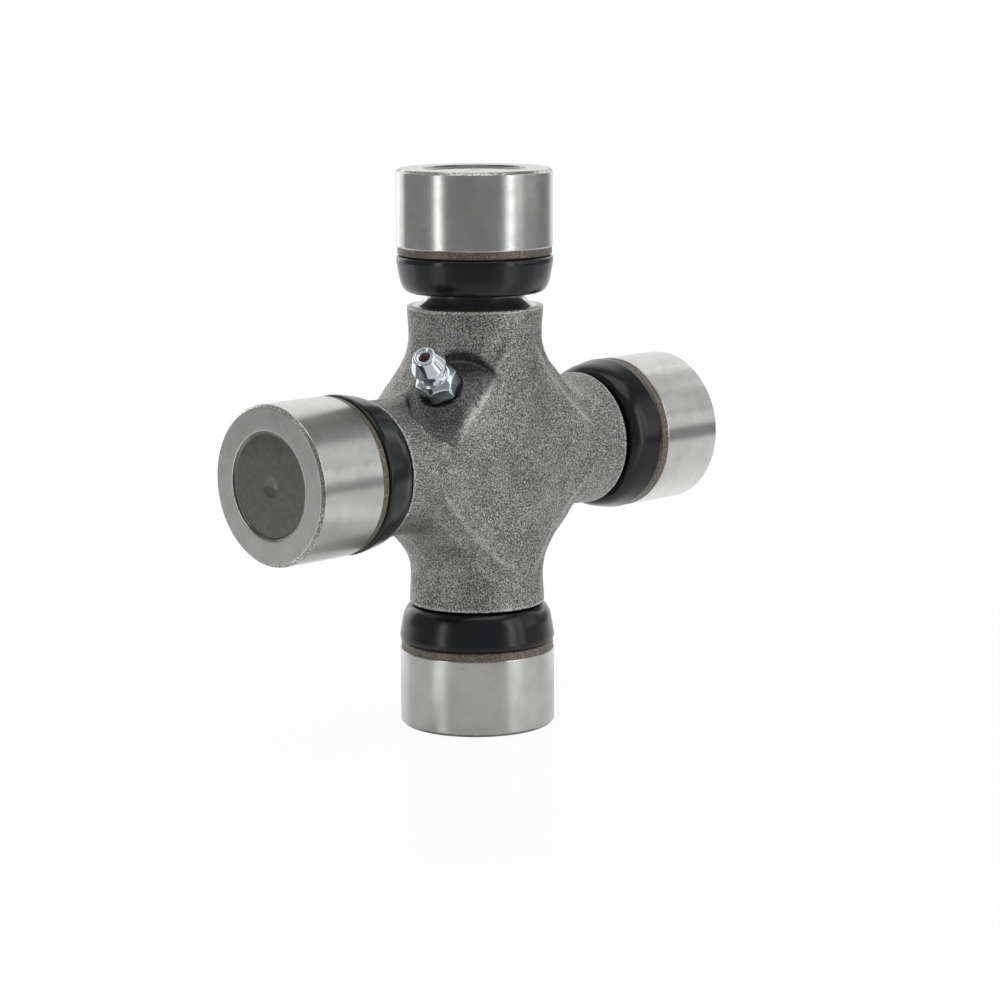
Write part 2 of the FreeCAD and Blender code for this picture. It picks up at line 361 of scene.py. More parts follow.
def softened(corners, steps=5, support=0.04):
    """Outline whose corners are rounded.

    A corner is (radius, height, cut). It is replaced by the curve
    (1-t)^2 A + 2t(1-t) C + t^2 B, where A and B lie cut away from the corner C on its two sides,
    with one more point a little further out on each side that keeps the flats flat.
    """
    points = np.array([corner[:2] for corner in corners], float)
    rows = [points[:1]]
    t = np.linspace(0, 1, steps + 1)[:, None]
    for index in range(1, len(corners) - 1):
        corner = points[index]
        cut = corners[index][2]
        back = points[index - 1] - corner
        ahead = points[index + 1] - corner
        back_unit = back / np.linalg.norm(back)
        ahead_unit = ahead / np.linalg.norm(ahead)
        start = corner + back_unit * cut
        end = corner + ahead_unit * cut
        curve = (1 - t) ** 2 * start + 2 * t * (1 - t) * corner + t ** 2 * end
        rows += [start[None] + back_unit * support, curve, end[None] + ahead_unit * support]
    rows.append(points[-1:])
    return np.vstack(rows)


def turned_grid(profile, columns):
    """Surface of revolution: (r cos a, r sin a, h) for each (r, h) of the profile and each angle a."""
    angles = np.arange(columns) * 2 * np.pi / columns
    radius = profile[:, 0, None]
    height = np.broadcast_to(profile[:, 1, None], (len(profile), columns))
    return np.stack([radius * np.cos(angles), radius * np.sin(angles), height], axis=-1)


def mesh_from_grids(name, grids):
    """Object from grids of points in mm that wrap round along their second axis.

    Points that meet, at poles and between grids, are merged, and the faces are turned outwards.
    """
    vertices = []
    faces = []
    first = 0
    for grid in grids:
        rows, columns = grid.shape[:2]
        index = first + np.arange(rows * columns).reshape(rows, columns)
        beside = np.roll(index, -1, axis=1)
        faces.append(np.stack([index[:-1], beside[:-1], beside[1:], index[1:]], axis=-1).reshape(-1, 4))
        vertices.append(grid.reshape(-1, 3) * MM)
        first += rows * columns
    mesh = bpy.data.meshes.new(name)
    mesh.from_pydata(np.vstack(vertices), [], np.vstack(faces))
    work = bmesh.new()
    work.from_mesh(mesh)
    bmesh.ops.remove_doubles(work, verts=work.verts, dist=2e-6)
    bmesh.ops.recalc_face_normals(work, faces=work.faces)
    work.to_mesh(mesh)
    work.free()
    mesh.shade_smooth()
    obj = bpy.data.objects.new(name, mesh)
    bpy.context.scene.collection.objects.link(obj)
    return obj


def coordinates(obj):
    """The vertices of an object in mm, as rows."""
    flat = np.empty(len(obj.data.vertices) * 3)
    obj.data.vertices.foreach_get("co", flat)
    return flat.reshape(-1, 3) / MM


def carry(obj, name, values):
    """Stores one vector per vertex on the mesh."""
    layer = obj.data.attributes.new(name, "FLOAT_VECTOR", "POINT")
    layer.data.foreach_set("vector", np.asarray(values, float).ravel())


def dress(obj, material, body, nodes):
    """Gives a piece its material and its body, and hides the solid it stands for."""
    obj.data.materials.append(material)
    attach(obj, body)
    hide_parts(*nodes)


def repaint(node, material):
    """Gives a solid that stays a new material in each of its slots."""
    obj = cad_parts[node]
    if not obj.material_slots:
        obj.data.materials.append(material)
    for place in obj.material_slots:
        place.material = material


def soft_min(a, b, blend):
    """Smaller of two values, rounded where they differ by less than blend."""
    overlap = np.maximum(blend - np.abs(a - b), 0) / blend
    return np.minimum(a, b) - overlap ** 2 * blend / 4


def soft_max(a, b, blend):
    """Greater of two values, rounded where they differ by less than blend."""
    return -soft_min(-a, -b, blend)


def waves(points, count, length, seed):
    """Sum of sine waves of random directions, about one wavelength long, from -1 to 1."""
    rng = np.random.default_rng(seed)
    directions = rng.normal(size=(count, 3))
    directions /= np.linalg.norm(directions, axis=1)[:, None]
    lengths = length * rng.uniform(0.7, 1.6, count)
    phases = rng.uniform(0, 2 * np.pi, count)
    total = np.zeros(points.shape[:-1])
    for direction, wavelength, phase in zip(directions, lengths, phases):
        total += np.sin(points @ direction * 2 * np.pi / wavelength + phase)
    return total / math.sqrt(count) / 1.6


# Forged shape details in mm: radius of the hub's domes, where the stubs start to flare and where
# they end, the edge that bounds the hub's front and back, and the flat ring at each shoulder
DOME_RADIUS = 72.0
WAIST_END = 25.0
FORGED_END = 28.72
HUB_EDGE = 17.4
LAND_RADIUS = 12.2

# Grease channel along each journal in mm
CHANNEL_RADIUS = 2.5
CHANNEL_DEPTH = 14.0

# Pocket round the nipple and the boss in it, in mm; the rim is a painted highlight along a straight line on
# its front
POCKET_AXIS = crotch_axis(31.5)
POCKET_DEPTH = 1.2
POCKET_SHIFT = 3.5
POCKET_LOWER = 0.8
POCKET_RADIUS = 9.2
RIM_HIGHLIGHT_PLACE = 3.9
BOSS_RADIUS = 4.19
BOSS_SLOPE = 1.5
BOSS_FOOT = 2.28


def diagonal_reach(points):
    """Distance from the centre along the nearest diagonal between two arms, with a slow wobble."""
    return (np.abs(points[..., 0]) + np.abs(points[..., 2])) / math.sqrt(2) + 0.4 * waves(points, 10, 8.0, 11)


def between_arms(points):
    """1 on the hub's front and back between two arms, falling to 0 at the arms and the middle plane."""
    x, y, z = np.moveaxis(np.abs(points), -1, 0)
    return np.clip((np.minimum(x, z) - 2.5) / 3.0, 0, 1) * np.clip((y - 4.0) / 3.0, 0, 1)


def in_pocket(points):
    """Places along the pocket's floor, first upwards and then to the front, and above it."""
    upwards = np.array([1.0, 0.0, 1.0]) / math.sqrt(2)
    forwards = np.cross(upwards, POCKET_AXIS)
    centre = NIPPLE_AXIS * (NIPPLE_SEAT - POCKET_DEPTH) + forwards * POCKET_SHIFT - upwards * POCKET_LOWER
    return (points - centre) @ upwards, (points - centre) @ forwards, (points - centre) @ POCKET_AXIS


def pocket_surface(points):
    """Value that is negative inside the pocket."""
    upwards, forwards, height = in_pocket(points)
    return soft_max(-height, np.hypot(upwards, forwards) - POCKET_RADIUS, 0.6)


def painted_shade_and_highlight_marks(points):
    """Shares of painted shade on the pocket's floor, of a painted highlight on its front rim and of a painted
    highlight on the hub's edges, one vector a point.

    The floor's share rises from 1 to 2 in a painted shadow ring round the nipple's hexagon.
    """
    upwards, forwards, height = in_pocket(points)
    # painted shade: the pocket's floor is darkened as if it lay in shade
    floor = np.clip(1 - pocket_surface(points) / 0.5, 0, 1)
    along = points @ NIPPLE_AXIS
    off_axis = np.linalg.norm(points - along[..., None] * NIPPLE_AXIS, axis=-1)
    # painted shadow: the floor's share doubles in a ring round the hexagon's foot
    floor = floor * (1 + np.clip((4.55 - off_axis) / 0.4, 0, 1))
    # painted highlight along the pocket's front rim
    rim = np.exp(-((forwards - RIM_HIGHLIGHT_PLACE) / 0.5) ** 2) * np.exp(-((upwards - 1.5) / 7.0) ** 6)
    rim *= np.clip((height + 3.0) / 1.5, 0, 1)
    # painted highlight along the edge that bounds the hub's front and back
    edge = np.exp(-((diagonal_reach(points) - HUB_EDGE) / 0.4) ** 2) * between_arms(points) * (floor <= 0)
    return np.stack([floor, rim, edge], axis=-1)


def boss_surface(points):
    """Value that is negative inside the cone under the nipple."""
    along = points @ NIPPLE_AXIS
    radius = np.linalg.norm(points - along[..., None] * NIPPLE_AXIS, axis=-1)
    side = (radius - BOSS_RADIUS - BOSS_SLOPE * (NIPPLE_SEAT - along)) / math.hypot(1, BOSS_SLOPE)
    top = soft_max(along - NIPPLE_SEAT, side, 0.2)
    return np.maximum(top, NIPPLE_SEAT - BOSS_FOOT - along)


def forged_surface(points, cross):
    """Value that is negative inside the forging, in mm.

    Two crossed stubs are joined smoothly with a web. The web is the space under sloped sides,
    r + |a| = reach * sqrt 2 about each axis a, and between two domes. A parting ridge runs in the
    middle plane, slow waves stand for the die's marks, an edge with a hollow outside it bounds the
    hub's front and back, and a shallow pocket with a boss takes the nipple.
    """
    x, y, z = np.moveaxis(points, -1, 0)
    about_z = np.hypot(x, y)
    about_x = np.hypot(y, z)
    waist = cross.stub_radius / MM
    flare = cross.shoulder_radius / MM - waist

    def stub(radius, along):
        rise = np.clip((np.abs(along) - WAIST_END) / (FORGED_END - WAIST_END), 0, 1)
        return radius - waist - flare * rise

    reach = cross.web_reach / MM
    slopes = soft_max(about_z + np.abs(z), about_x + np.abs(x), 1.2) / math.sqrt(2) - reach
    dome = np.abs(y) - cross.hub_half_depth / MM + (x ** 2 + z ** 2) / (2 * DOME_RADIUS)
    web = soft_max(slopes, dome, 1.6)
    body = soft_min(soft_min(stub(about_z, z), stub(about_x, x), 1.0), web, 2.6)
    far = np.maximum(np.abs(x), np.abs(z))
    fade = np.clip((FORGED_END - far) / 3.0, 0, 1)
    ridge = 0.16 * np.exp(-(y / 0.55) ** 2)
    body = body - fade * (ridge + 0.07 * waves(points, 14, 9.0, 3) + 0.03 * waves(points, 14, 3.0, 5))
    beyond = diagonal_reach(points) - HUB_EDGE
    edge = 0.30 * np.exp(-(beyond / 0.5) ** 2) - 0.45 * np.exp(-((beyond - 1.9) / 1.3) ** 2)
    body = body - between_arms(points) * edge
    body = soft_max(body, -pocket_surface(points), 0.8)
    return soft_min(body, boss_surface(points), 0.8)


# Search along a ray for the forging's surface: coarse steps, then halvings, and the farthest
# place in mm that is looked at
MARCH_STEPS = 60
HALVINGS = 16
FARTHEST = 24.0


def outermost(origins, rays, low, cross):
    """Distance along each ray to the outermost crossing of the forging's surface.

    A coarse march inwards finds the first point inside, and halving refines it.
    """
    steps = np.linspace(FARTHEST, low, MARCH_STEPS)
    found = np.full(rays.shape[:-1], low)
    open_rays = np.ones(rays.shape[:-1], bool)
    for step in steps:
        inside = forged_surface(origins + rays * step, cross) < 0
        newly = open_rays & inside
        found[newly] = step
        open_rays &= ~inside
    near = found
    far = found + (FARTHEST - low) / (MARCH_STEPS - 1)
    for _ in range(HALVINGS):
        middle = (near + far) / 2
        inside = forged_surface(origins + rays * middle[..., None], cross) < 0
        near = np.where(inside, middle, near)
        far = np.where(inside, far, middle)
    return (near + far) / 2


# Rows of points from the diagonals to the shoulder
ARM_ROWS = 66


def arm_grid(turn, cross):
    """Forged part of one arm, from the diagonals between the arms out to the shoulder.

    For each angle a round the arm, the inner end is where the surface meets the diagonal plane,
    on the ray (cos a, sin a, |cos a|). Between there and the shoulder the radius is solved at
    evenly spread heights.
    """
    columns = cross.columns
    rows = ARM_ROWS
    angles = np.arange(columns) * 2 * np.pi / columns
    across = np.abs(np.cos(angles))
    inner_rays = np.stack([np.cos(angles), np.sin(angles), across], axis=-1) @ turn.T
    inner = outermost(np.zeros_like(inner_rays), inner_rays, 8.0, cross)
    inner_heights = inner * across
    share = np.linspace(0, 1, rows)[:, None]
    heights = inner_heights + (FORGED_END - inner_heights) * share
    rays = np.broadcast_to(
        np.stack([np.cos(angles), np.sin(angles), 0 * angles], axis=-1), (rows, columns, 3)
    )
    origins = np.stack([0 * heights, 0 * heights, heights], axis=-1)
    radii = outermost(origins @ turn.T, rays @ turn.T, 6.0, cross)
    radii[0] = inner
    radii[-1] = cross.shoulder_radius / MM
    return origins + rays * radii[..., None]


def journal_profile(cross):
    """Shoulder, fillet, journal, end face and grease channel of one arm."""
    shoulder = cross.shoulder_height / MM
    outer = cross.shoulder_radius / MM
    journal = cross.journal_radius / MM
    fillet = LAND_RADIUS - journal
    channel_end = JOURNAL_END - CHANNEL_DEPTH
    t = np.linspace(0, np.pi / 2, 9)[1:-1]
    fillet_radii = LAND_RADIUS - fillet * np.sin(t)
    fillet_rows = np.stack([fillet_radii, shoulder + fillet - fillet * np.cos(t)], axis=-1)
    before = softened([
        (outer, FORGED_END, 0), (outer, shoulder, 0.3), (LAND_RADIUS, shoulder, 0),
    ], 4)
    after = softened([
        (journal, shoulder + fillet, 0),
        (journal, JOURNAL_END - 0.8, 0.2),
        (journal - 0.8, JOURNAL_END, 0.2),
        (CHANNEL_RADIUS + 1.0, JOURNAL_END, 0.1),
        (CHANNEL_RADIUS, JOURNAL_END - 1.0, 0.1),
        (CHANNEL_RADIUS, channel_end, 0.1),
        (0, channel_end, 0),
    ], 3)
    return np.vstack([before, fillet_rows, after])


def forged_finish(cross):
    """Blasted forging with grainy tone and painted glints; ground steel beyond the shoulders.

    The piece carries the shares of the pocket floor, painted darker as shade, and of the rim and edges, which
    carry painted highlights.
    """
    finish = Finish("forged_steel")
    place = finish.place()
    x, _, z = finish.parts(place)
    far = x.maths("ABSOLUTE").at_least(z.maths("ABSOLUTE"))
    ground = far.step(29.0 * MM, 29.15 * MM)
    grain = finish.noise(place, 2500, 2, 0.6)
    speck = finish.noise(place, 4600, 1, 0.5)
    blotch = finish.noise(place, 160, 4, 0.6)
    dents = finish.cells(place, 1700)
    # carried shares: painted shade on the pocket's floor, a painted highlight on its rim and one on the hub's
    # edges
    carried = finish.node("ShaderNodeAttribute", {"attribute_name": "marks"}, {}, "Vector")
    floor, rim, painted_ridge_highlight = finish.parts(carried)
    # band along the shoulders' edges where glints are painted more densely
    painted_shoulder_glints = far.step(28.3 * MM, 28.7 * MM)
    # places where glints are painted more densely: the pocket's rim, the shoulders and the hub's edges
    edge = rim.at_least(painted_shoulder_glints).at_least(painted_ridge_highlight * 0.6)
    light = (grain - 0.5) * 1.9 + (speck - 0.5) * 4.2 + (blotch - 0.5) * 1.1 + 0.31
    # painted glints: bright specks put into the colour
    painted_glint = finish.noise(place, 3900, 1, 0.6).step(0.58 - edge * 0.14, 0.70 - edge * 0.14)
    dark = tuple(0.34 * part for part in cross.forged_colour)
    bright = tuple(min(1.0, 1.75 * part) for part in cross.forged_colour)
    forged = finish.mixed(light.step(-0.15, 1.15), dark, bright)
    # painted shade on the pocket's floor
    forged = finish.mixed(floor * 0.54, forged, (0.07, 0.07, 0.072))
    # painted highlight on the pocket's rim and, weaker, on the hub's edges
    forged = finish.mixed(rim.at_least(painted_ridge_highlight * 0.5) * 0.45, forged, (0.80, 0.80, 0.80))
    # painted shadow: near-black ring round the nipple's hexagon
    forged = finish.mixed(floor.step(1.2, 1.8), forged, (0.015, 0.015, 0.016))
    # painted glints, fewer on the pocket's painted shade
    forged = finish.mixed(painted_glint * (0.85 - floor * 0.35), forged, (0.88, 0.88, 0.86))
    colour = finish.mixed(ground, forged, cross.ground_colour)
    rough = 0.50 + (speck - 0.5) * 0.5
    height = (grain * 0.6 + dents * 0.35 + speck * 0.3) * (1 - ground)
    finish.shade(
        Base_Color=colour,
        Metallic=0.9,
        Roughness=ground * (0.15 - rough) + rough,
        Normal=finish.bump(height, 0.00010, 1.0),
    )
    return finish.material


# Direction of the grinding lines on the cups' end faces, in radians
GRIND_ANGLE = math.radians(35)

# Inside of the cups in mm: seal seat at the mouth, bore of the rollers and thickness of the floor
SEAL_SEAT_RADIUS = 12.89
SEAL_SEAT_DEPTH = 3.0
BORE_RADIUS = 12.02
CUP_FLOOR = 3.9

# Radius in mm of the hole in the guards
GUARD_HOLE = 10.2


def ring_band(height, low, high, blur=0.03):
    """1 where height lies between low and high."""
    return height.step(low - blur, low + blur) * height.step(high + blur, high - blur)


def cup_finish(cups, cup_length):
    """Ground steel cup: fine grinding marks, dark chamfer and relief band, brownish recess.

    The own coordinates are the arm's, with height counted from the cup's end face.
    """
    finish = Finish("ground_steel")
    own = finish.own()
    x, y, height = finish.parts(own)
    radius = (x * x + y * y).maths("SQRT")
    edge = CUP_RADIUS - cups.end_chamfer / MM
    recess = cups.recess_radius / MM
    rim = -cup_length
    outside = radius.step(edge - 0.3, edge - 0.1)
    end_face = height.step(-0.12, -0.04) * radius.step(recess - 0.02, recess + 0.04)
    in_recess = radius.step(recess + 0.04, recess - 0.02) * height.step(-2.0, -1.9)
    bore = height.step(-3.4, -3.5) * radius.step(edge - 0.6, edge - 0.8)
    relief = ring_band(height, rim - 0.3, rim + cups.relief_length / MM + 0.25) * outside
    scale = finish.noise(finish.stretched(own, (2.2, 2.2, 3.5)), 1.0, 4, 0.65)
    chamfer = height.step(-0.62, -0.50) * radius.step(edge + 0.02, edge + 0.10) * scale.step(0.40, 0.62)
    oxide = relief.at_least(chamfer)
    fleck = finish.noise(own, 4.5, 2, 0.6).step(0.50, 0.66)
    round_marks = finish.noise(finish.stretched(own, (0.25, 0.25, 26.0)), 1.0, 3, 0.6)
    face_marks = finish.noise(finish.turned(own, GRIND_ANGLE, (7.0, 0.12, 0.5)), 1.0, 3, 0.6)
    stain = finish.noise(own, 0.22, 3, 0.6)
    pits = finish.cells(own, 0.42).step(0.10, 0.05) * finish.noise(own, 0.9, 1, 0.5).step(0.55, 0.62)
    side = tuple(0.88 * part for part in cups.colour)
    steel = finish.mixed(stain.step(0.3, 0.75), cups.colour, side)
    steel = finish.mixed(pits * outside * 0.6, steel, (0.16, 0.12, 0.10))
    centre_ring = ring_band(radius, 0.9, 1.5, 0.45)
    tone = finish.noise(own, 0.9, 4, 0.6) + centre_ring * 0.35
    recess_tone = finish.mixed(
        tone.step(0.2, 0.9), tuple(0.72 * part for part in cups.recess_colour),
        tuple(1.25 * part for part in cups.recess_colour),
    )
    colour = finish.mixed(in_recess, steel, recess_tone)
    colour = finish.mixed(bore, colour, (0.30, 0.28, 0.25))
    scaled = finish.mixed(fleck, cups.oxide_colour, tuple(3.0 * part for part in cups.oxide_colour))
    colour = finish.mixed(oxide, colour, scaled)
    marks = round_marks * (1 - end_face) + face_marks * end_face
    rough = 0.21 + (marks - 0.5) * 0.10 + end_face * 0.07 + in_recess * 0.08 + oxide * 0.25
    finish.shade(
        Base_Color=colour,
        Metallic=1.0 - oxide * 0.35,
        Coat_Weight=in_recess * 0.9,
        Coat_Roughness=0.08,
        Coat_IOR=1.8,
        Roughness=rough,
        Normal=finish.bump(marks * (1 - in_recess), 0.00001, 0.8),
    )
    return finish.material


def cup_profile(cups, end, rim):
    """Outline of one cup from the centre of its end face round to the centre of its floor."""
    recess = cups.recess_radius / MM
    depth = cups.recess_depth / MM
    chamfer = cups.end_chamfer / MM
    relief = CUP_RADIUS - cups.relief_drop / MM
    relief_end = rim + cups.relief_length / MM
    return softened([
        (0, end - depth - 0.18, 0),
        (1.0, end - depth - 0.12, 0.30),
        (2.0, end - depth, 0.35),
        (recess - 0.40, end - depth, 0.20),
        (recess - 0.10, end - 0.18, 0.12),
        (recess + 0.15, end, 0.12),
        (CUP_RADIUS - chamfer, end, 0.10),
        (CUP_RADIUS, end - chamfer, 0.12),
        (CUP_RADIUS, relief_end + 0.38, 0.10),
        (relief, relief_end, 0.08),
        (relief, rim + 0.3, 0.08),
        (relief - 0.3, rim, 0.08),
        (SEAL_SEAT_RADIUS, rim, 0.08),
        (SEAL_SEAT_RADIUS, rim + SEAL_SEAT_DEPTH, 0.05),
        (BORE_RADIUS, rim + SEAL_SEAT_DEPTH, 0.05),
        (BORE_RADIUS, end - CUP_FLOOR, 0.3),
        (0, end - CUP_FLOOR, 0),
    ])


def rubber_finish(name, colour, roughness):
    """Moulded rubber with a faint uneven gloss."""
    finish = Finish(name)
    place = finish.place()
    cloud = finish.noise(place, 260, 3, 0.6)
    finish.shade(
        Base_Color=(*tuple(colour), 1.0),
        Roughness=roughness + (cloud - 0.5) * 0.12,
        Normal=finish.bump(finish.noise(place, 900, 2, 0.5), 0.00002, 0.5),
    )
    return finish.material


def plain_finish(name, colour, metallic, roughness, grain=0.08):
    """Plain metal or plastic with a little unevenness in its gloss."""
    finish = Finish(name)
    place = finish.place()
    cloud = finish.noise(place, 900, 3, 0.6)
    shaded = tuple(0.85 * part for part in colour)
    finish.shade(
        Base_Color=finish.mixed(cloud, shaded, colour),
        Metallic=metallic,
        Roughness=roughness + (cloud - 0.5) * grain,
    )
    return finish.material


def guard_profile(base, top, rim):
    """Outline of one guard: hook in the cup's mouth, rounded outside, thin lip at the shoulder."""
    t = np.linspace(0, 1, 14)[:, None]
    heel = np.array([GUARD_RADIUS - 0.45, base + 3.6])
    corner = np.array([GUARD_RADIUS - 0.95, base + 0.35])
    toe = np.array([12.7, base + 0.05])
    shoulder = (1 - t) ** 2 * heel + 2 * t * (1 - t) * corner + t ** 2 * toe
    before = softened([
        (GUARD_HOLE, rim + 0.1, 0),
        (SEAL_SEAT_RADIUS, rim + 0.1, 0.05),
        (SEAL_SEAT_RADIUS, top, 0.05),
        (GUARD_RADIUS - 0.1, top, 0.45),
        (GUARD_RADIUS, top - 0.9, 0.3),
        (*heel, 0),
    ])
    after = softened([
        (*toe, 0), (11.9, base, 0.2), (GUARD_HOLE, base + 2.27, 0.4), (GUARD_HOLE, rim + 0.1, 0),
    ])
    return np.vstack([before[:-1], shoulder, after[1:]])


def nipple_frame():
    """Rotation that takes +Z onto the nipple's axis, as rows for column vectors."""
    side = np.cross([0.0, 1.0, 0.0], NIPPLE_AXIS)
    side /= np.linalg.norm(side)
    return np.stack([side, np.cross(NIPPLE_AXIS, side), NIPPLE_AXIS], axis=-1)


def on_nipple(grid):
    """Points worked out above the nipple's seat, set onto its axis."""
    return grid @ nipple_frame().T + NIPPLE_AXIS * NIPPLE_SEAT


# Hexagon's height in mm, and the angle of one of its corners in degrees
HEX_HEIGHT = 4.3
HEX_TURN = 14.0


def hexagon_grid(nipple, columns):
    """Hexagon with rounded corners and bevelled ends.

    At angle a the flat's radius is half the width over the cosine of the angle from its middle;
    the bevels are cones that cut it at the bottom and top.
    """
    half = nipple.hex_flats / MM / 2
    corner = half / math.cos(math.radians(30))
    angles = np.arange(columns) * 2 * np.pi / columns
    from_flat = (angles - math.radians(HEX_TURN)) % (np.pi / 3) - np.pi / 6
    flats = soft_min(half / np.cos(from_flat), np.full(columns, corner - 0.06), 0.12)
    heights = np.hstack([np.linspace(0, 0.4, 5), np.linspace(0.8, 2.4, 5), np.linspace(2.6, HEX_HEIGHT, 14)])
    heights = heights[:, None]
    bottom = half - 0.1 + (corner - half + 0.1) * heights / 0.4
    top = half - 0.6 + (corner - half + 0.6) * (HEX_HEIGHT - heights) / 1.3
    radius = soft_min(soft_min(np.broadcast_to(flats, (len(heights), columns)), bottom, 0.1), top, 0.15)
    grid_height = np.broadcast_to(heights, radius.shape)
    return np.stack([radius * np.cos(angles), radius * np.sin(angles), grid_height], axis=-1)


def nipple_profile(nipple):
    """Shoulder, neck, head, cone, tip ring and bore of the nipple above its hexagon."""
    head = nipple.head_radius / MM
    return softened([
        (3.05, HEX_HEIGHT, 0),
        (2.70, HEX_HEIGHT + 0.05, 0.10),
        (2.35, 5.0, 0.25),
        (2.35, 6.3, 0.25),
        (head, 7.0, 0.15),
        (head, 7.5, 0.15),
        (2.30, 10.10, 0.12),
        (2.10, 10.35, 0.10),
        (1.75, 10.35, 0.10),
        (1.45, 10.10, 0.08),
        (1.20, 10.10, 0.08),
        (0.95, 9.75, 0.10),
        (1.50, 9.30, 0.10),
        (1.50, 4.4, 0.10),
        (0, 4.4, 0),
    ], 6)


class JOINT_OT_cross(bpy.types.Operator):
    """Builds the forged cross with its ground journals"""

    bl_idname = "joint_cross.cross"
    bl_label = "Forged cross"

    def execute(self, context):
        cross = context.scene.joint_cross
        journal = turned_grid(journal_profile(cross), cross.columns)
        grids = []
        for turn_deg in ARM_TURNS.values():
            turn = turn_matrix(turn_deg)
            forged = arm_grid(turn, cross)
            grids.append(np.vstack([forged, journal[1:]]) @ turn.T)
        obj = mesh_from_grids("cross", grids)
        carry(obj, "marks", painted_shade_and_highlight_marks(coordinates(obj)))
        dress(obj, forged_finish(cross), "cross", ["cross_body"])
        return {"FINISHED"}


class JOINT_OT_cups(bpy.types.Operator):
    """Builds the ground bearing cups"""

    bl_idname = "joint_cross.cups"
    bl_label = "Bearing cups"

    def execute(self, context):
        cups = context.scene.joint_cups
        rim, end = reach_on_arm("bottom_bearing_cup", ARM_TURNS["bottom"])
        material = cup_finish(cups, end - rim)
        for arm, turn_deg in ARM_TURNS.items():
            turn = turn_matrix(turn_deg)
            rim, end = reach_on_arm(arm + "_bearing_cup", turn_deg)
            grid = turned_grid(cup_profile(cups, end, rim), cups.columns)
            obj = mesh_from_grids(arm + "_cup", [grid @ turn.T])
            carry(obj, "own", coordinates(obj) @ turn - np.array([0, 0, end]))
            dress(obj, material, arm + "_cup", [arm + "_bearing_cup"])
        return {"FINISHED"}


class JOINT_OT_guards(bpy.types.Operator):
    """Builds the black dust guards"""

    bl_idname = "joint_cross.guards"
    bl_label = "Dust guards"

    def execute(self, context):
        guards = context.scene.joint_guards
        material = rubber_finish("guard_rubber", guards.colour, guards.roughness)
        for arm, turn_deg in ARM_TURNS.items():
            rim = reach_on_arm(arm + "_bearing_cup", turn_deg)[0]
            base = reach_on_arm(arm + "_dust_guard", turn_deg)[0]
            profile = guard_profile(base, rim - 0.12, rim)
            grid = turned_grid(profile, 160) @ turn_matrix(turn_deg).T
            obj = mesh_from_grids(arm + "_guard", [grid])
            dress(obj, material, arm + "_cup", [arm + "_dust_guard"])
        return {"FINISHED"}


class JOINT_OT_nipple(bpy.types.Operator):
    """Builds the grease nipple and its check ball"""

    bl_idname = "joint_cross.nipple"
    bl_label = "Grease nipple"

    def execute(self, context):
        nipple = context.scene.joint_nipple
        columns = 144
        base = np.zeros((1, columns, 3))
        body = np.vstack([
            base, hexagon_grid(nipple, columns), turned_grid(nipple_profile(nipple), columns),
        ])
        obj = mesh_from_grids("nipple", [on_nipple(body)])
        zinc = plain_finish("zinc_plating", nipple.colour, 1.0, 0.13)
        dress(obj, zinc, "cross", ["grease_nipple"])
        low, high = (np.array(corner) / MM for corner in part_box("nipple_ball"))
        centre = (low + high) / 2
        radius = (high[2] - low[2]) / 2
        t = np.linspace(-np.pi / 2, np.pi / 2, 25)
        sphere = turned_grid(np.stack([radius * np.cos(t), radius * np.sin(t)], axis=-1), 48)
        ball = mesh_from_grids("check_ball", [sphere + centre])
        # painted shade on the check ball, whose colour is darker than its own red
        red = plain_finish("red_ball", nipple.ball_colour, 0.3, 0.18)
        dress(ball, red, "check_ball", ["nipple_ball"])
        return {"FINISHED"}


class JOINT_OT_inner(bpy.types.Operator):
    """Gives the rollers, washers, lip seals and spring their finishes"""

    bl_idname = "joint_cross.inner"
    bl_label = "Inner parts"

    def execute(self, context):
        rollers = plain_finish("roller_steel", (0.62, 0.62, 0.63), 1.0, 0.16)
        nylon = plain_finish("washer_nylon", (0.72, 0.69, 0.60), 0.0, 0.45)
        lips = rubber_finish("lip_rubber", (0.02, 0.02, 0.02), 0.45)
        for arm in ARM_TURNS:
            repaint(arm + "_needle_rollers", rollers)
            repaint(arm + "_thrust_washer", nylon)
            repaint(arm + "_lip_seal", lips)
        repaint("nipple_spring", plain_finish("spring_wire", (0.45, 0.45, 0.45), 1.0, 0.3))
        return {"FINISHED"}


# Camera: fitted to the photograph, with lengths in cup radii
CAMERA_AZIMUTH = math.radians(-44.917)
CAMERA_ELEVATION = math.radians(9.813)
CAMERA_ROLL = math.radians(-0.311)
CAMERA_DISTANCE = 39.10842
CAMERA_RIGHT = 0.30901
CAMERA_UP = -0.60087
FOCAL_PIXELS = 3030.86
SENSOR_WIDTH = 36.0
IMAGE_WIDTH = 1000


def axes_towards(azimuth, elevation):
    """Right, up and back axes of something that looks at the origin from these angles."""
    back = np.array([
        math.sin(azimuth) * math.cos(elevation),
        -math.cos(azimuth) * math.cos(elevation),
        math.sin(elevation),
    ])
    right = np.array([math.cos(azimuth), math.sin(azimuth), 0])
    return right, np.cross(back, right), back


def place_with(obj, right, up, back, place):
    """Sets an object's axes and place in the world."""
    matrix = Matrix.Identity(4)
    for column, axis in enumerate((right, up, back, place)):
        for row in range(3):
            matrix[row][column] = axis[row]
    obj.matrix_world = matrix


